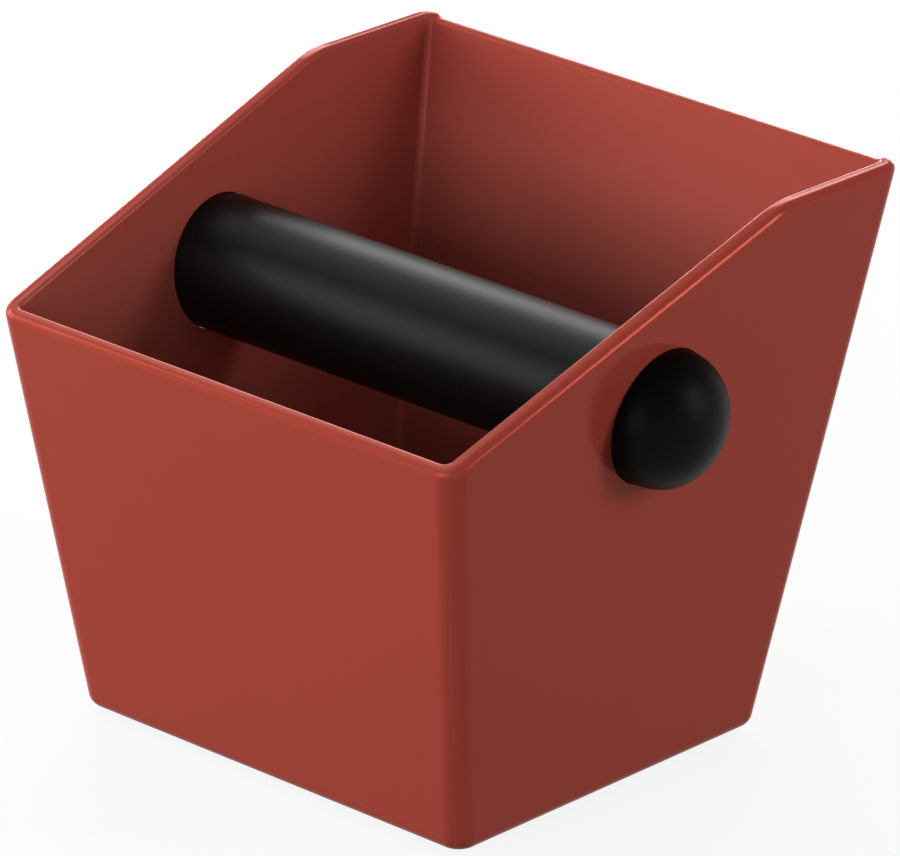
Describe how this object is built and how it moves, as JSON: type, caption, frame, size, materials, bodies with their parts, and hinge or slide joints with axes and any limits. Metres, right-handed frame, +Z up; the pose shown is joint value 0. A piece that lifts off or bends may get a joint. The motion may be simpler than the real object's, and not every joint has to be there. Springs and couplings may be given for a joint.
{
  "type": "espresso knock box",
  "caption": "Open knock box with a slanted rim and leaning walls, crossed by a removable rubber-covered bar with domed ends, on rubber feet.",
  "frame": {"origin": "on the surface that the box stands on, under the middle of its bounding box", "axes": "+X to the right as seen from the low front rim, along the bar; +Y to the high back rim; +Z up"},
  "size_m": [0.1664, 0.147, 0.137],
  "materials": {
    "bin_plastic": "satin",
    "bar_rubber": "satin",
    "cap_rubber": "smooth",
    "core_steel": "brushed",
    "foot_rubber": "matte"
  },
  "bodies": {
    "box": {"bin": "bin_plastic", "foot_front_left": "foot_rubber", "foot_front_right": "foot_rubber", "foot_back_left": "foot_rubber", "foot_back_right": "foot_rubber"},
    "core": {"bar_core": "core_steel"},
    "bar": {"bar_sleeve": "bar_rubber", "left_cap": "cap_rubber", "right_cap": "cap_rubber"}
  },
  "joints": [
    {"name": "bar_withdraw", "type": "slide", "parent": "box", "child": "core", "axis": [1, 0, 0], "range_m": [-0.155, 0.155]},
    {"name": "bar_turn", "type": "hinge", "parent": "core", "child": "bar", "pos_m": [0, -0.00413, 0.09534], "axis": [1, 0, 0], "continuous": true}
  ]
}
